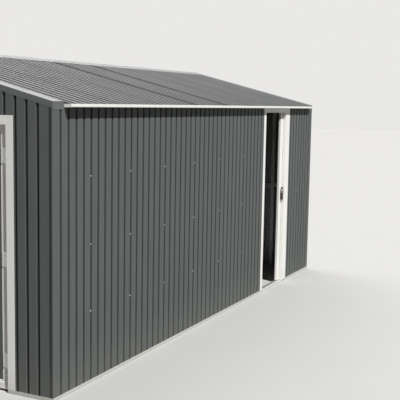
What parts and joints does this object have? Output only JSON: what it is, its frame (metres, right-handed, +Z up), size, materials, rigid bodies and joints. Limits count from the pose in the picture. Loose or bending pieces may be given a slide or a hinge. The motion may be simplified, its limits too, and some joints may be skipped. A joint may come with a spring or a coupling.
{
  "type": "metal garage",
  "caption": "Ribbed sheet-metal garage with a low gable roof, white trims, a sliding side door on a track and a closed double vehicle door in one gable.",
  "frame": {"origin": "on the ground, in the middle of the building's outline", "axes": "+X along the long walls towards the side door's end, +Y across the building away from the side door, +Z up"},
  "size_m": [5.084, 3.142, 2.3138],
  "materials": {
    "wall_sheet": "satin dark grey coated steel sheet",
    "roof_sheet": "satin grey coated steel sheet, dusty",
    "white_trim": "satin cream white coated steel",
    "base_rail": "matt pale grey, dusty",
    "galvanised": "dull galvanised steel",
    "track": "worn, dusty aluminium",
    "handle": "dark brown plastic",
    "lock": "bright metal",
    "guide": "black nylon"
  },
  "bodies": {
    "building": {"base_rail_front": "base_rail", "base_rail_back": "base_rail", "base_rails_gables": "base_rail", "corner_posts": "galvanised", "wall_posts": "galvanised", "gable_posts": "galvanised", "front_wall_left": "wall_sheet", "front_wall_right": "wall_sheet", "back_wall": "wall_sheet", "right_gable_wall": "wall_sheet", "left_gable_sides": "wall_sheet", "left_gable_top": "wall_sheet", "wall_rails": "galvanised", "top_rails": "galvanised", "left_jamb": "white_trim", "right_jamb": "white_trim", "door_header": "white_trim", "door_sill": "track", "floor_track": "track", "head_track": "galvanised", "rafters": "galvanised", "tie_beams": "galvanised", "purlins": "galvanised", "ridge_beam": "galvanised", "roof_sheet_front": "roof_sheet", "roof_sheet_back": "roof_sheet", "ridge_cap": "roof_sheet", "verge_right": "roof_sheet", "verge_left": "roof_sheet", "eave_trim_front": "white_trim", "eave_trim_back": "white_trim", "vehicle_jambs": "white_trim", "vehicle_header": "white_trim", "vehicle_leaf_frames": "white_trim", "vehicle_leaf_panels": "wall_sheet", "vehicle_handle": "handle"},
    "side_door": {"leading_stile": "white_trim", "trailing_stile": "white_trim", "leaf_rails": "white_trim", "leaf_panel": "wall_sheet", "pull_handle": "handle", "lock_cylinder": "lock", "door_catch": "handle", "leaf_hangers": "galvanised", "leaf_guides": "guide"}
  },
  "joints": [
    {"name": "side_door_slide", "type": "slide", "parent": "building", "child": "side_door", "axis": [-1, 0, 0], "range_m": [0, 0.523]}
  ]
}
